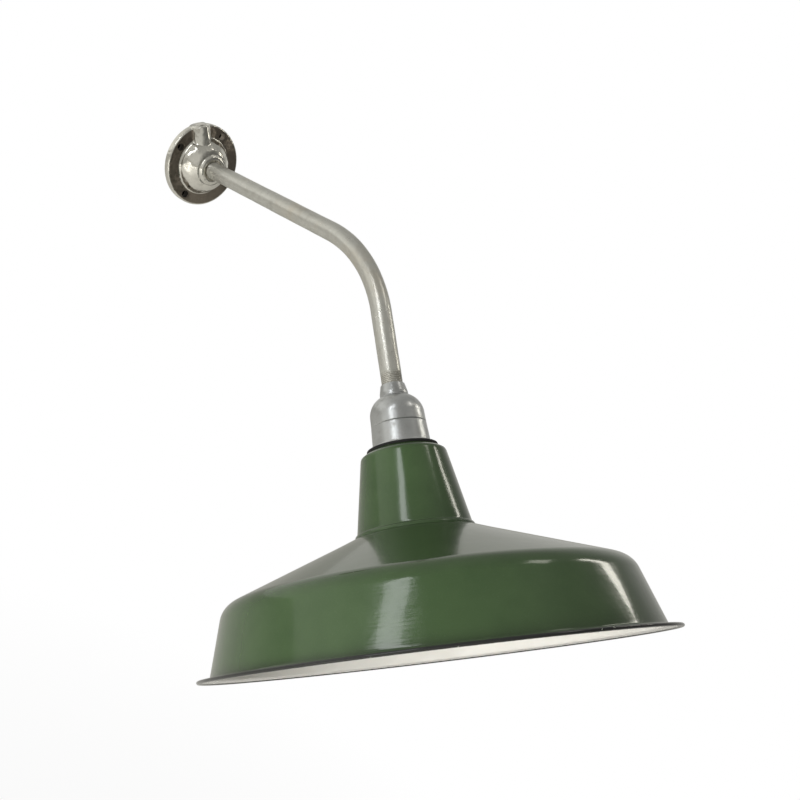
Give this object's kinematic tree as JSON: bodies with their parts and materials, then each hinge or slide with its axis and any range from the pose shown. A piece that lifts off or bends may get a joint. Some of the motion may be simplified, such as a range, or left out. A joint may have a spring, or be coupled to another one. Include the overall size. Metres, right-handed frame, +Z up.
{
  "type": "gooseneck wall sconce",
  "caption": "Gooseneck wall lamp: cast wall flange, bent steel pipe arm, cast lampholder with a screw socket, and a stepped green enamelled reflector shade with a white inside",
  "frame": {"origin": "centre of the wall flange's screw circle, in the plane of the wall", "axes": "+Y points into the wall, +Z is up, X runs across; the arm lies in the plane X = 0 and stands out along -Y"},
  "size_m": [0.422, 0.7713, 0.4886],
  "materials": {
    "cast_aluminium": "cast and polished",
    "galvanised_pipe": "galvanised, matt",
    "green_enamel": "green vitreous enamel outside, white inside, black rim",
    "black_rubber": "moulded",
    "plated_steel": "zinc plated",
    "brass": "plain",
    "porcelain": "glazed",
    "black_plastic": "moulded",
    "white_core": "insulation",
    "black_core": "insulation",
    "green_core": "insulation"
  },
  "bodies": {
    "flange": {"wall_flange": "cast_aluminium", "arm_lock_screw": "plated_steel"},
    "arm": {"arm_pipe": "galvanised_pipe", "pipe_bushes": "black_plastic", "supply_tails": "black_core", "supply_cable": "black_rubber"},
    "head": {"holder_cap": "cast_aluminium", "holder_lock_screw": "plated_steel", "holder_ring": "cast_aluminium", "socket_retainer": "brass", "neck_gasket": "black_rubber", "clamp_washer": "plated_steel", "shade_ring_nut": "plated_steel", "shade_neck": "green_enamel", "shade_dish": "green_enamel", "socket_body": "porcelain", "socket_shell": "brass", "shell_screws": "plated_steel", "live_terminal": "brass", "neutral_terminal": "brass", "terminal_screws": "brass", "contact_spring": "plated_steel", "live_lead": "black_core", "neutral_lead": "white_core", "earth_lead": "green_core", "earth_tag": "brass", "earth_screw": "brass"},
    "contact": {"centre_contact": "brass"}
  },
  "joints": [
    {"name": "arm_swivel", "type": "hinge", "parent": "flange", "child": "arm", "pos_m": [0, 0, 0], "axis": [0, -1, 0], "range_deg": [-90, 90]},
    {"name": "shade_swivel", "type": "hinge", "parent": "arm", "child": "head", "pos_m": [0, -0.44445, -0.10928], "axis": [0, -0.6947, -0.7193], "range_deg": [-170, 170]},
    {"name": "centre_contact_press", "type": "slide", "parent": "head", "child": "contact", "axis": [0, 0.6947, 0.7193], "range_m": [0, 0.002], "stiffness_N_per_m": 1200, "deforming": ["contact_spring"]}
  ]
}
